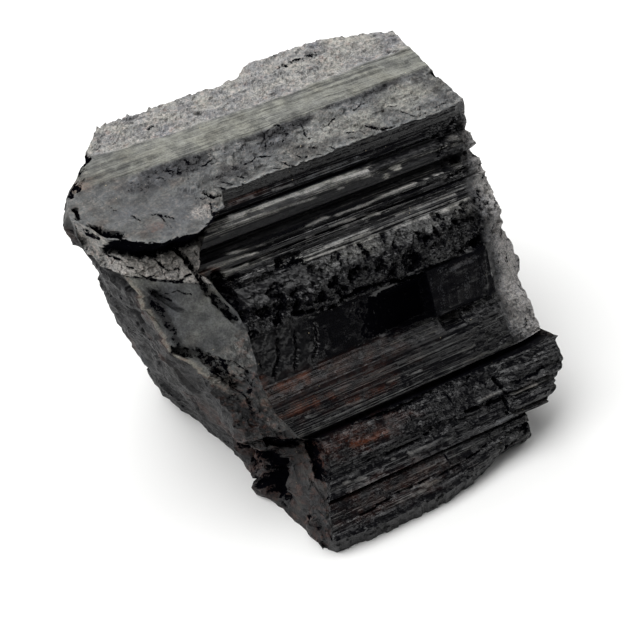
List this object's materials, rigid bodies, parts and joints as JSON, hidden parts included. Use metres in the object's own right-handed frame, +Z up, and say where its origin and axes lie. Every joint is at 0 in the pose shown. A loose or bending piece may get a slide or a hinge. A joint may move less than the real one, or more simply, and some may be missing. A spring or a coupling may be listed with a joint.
{
  "type": "black tourmaline",
  "caption": "Hand-sized rough block of black tourmaline with a flat broken top, a stepped slope of long parallel bars in front and an undercut broken end.",
  "frame": {"origin": "on the floor under the middle of the block's bounding box", "axes": "+X along the crystal's long axis, in which its striations run; -Y to the stepped slope; +Z up, out of the flat broken top"},
  "size_m": [0.062, 0.0587, 0.0404],
  "materials": {
    "schorl": "near-black, glassy on the striated crystal faces, dull grey and crumbly on the breaks, with a little rust-brown stain"
  },
  "bodies": {
    "root": {"black_tourmaline": "schorl"}
  },
  "joints": []
}
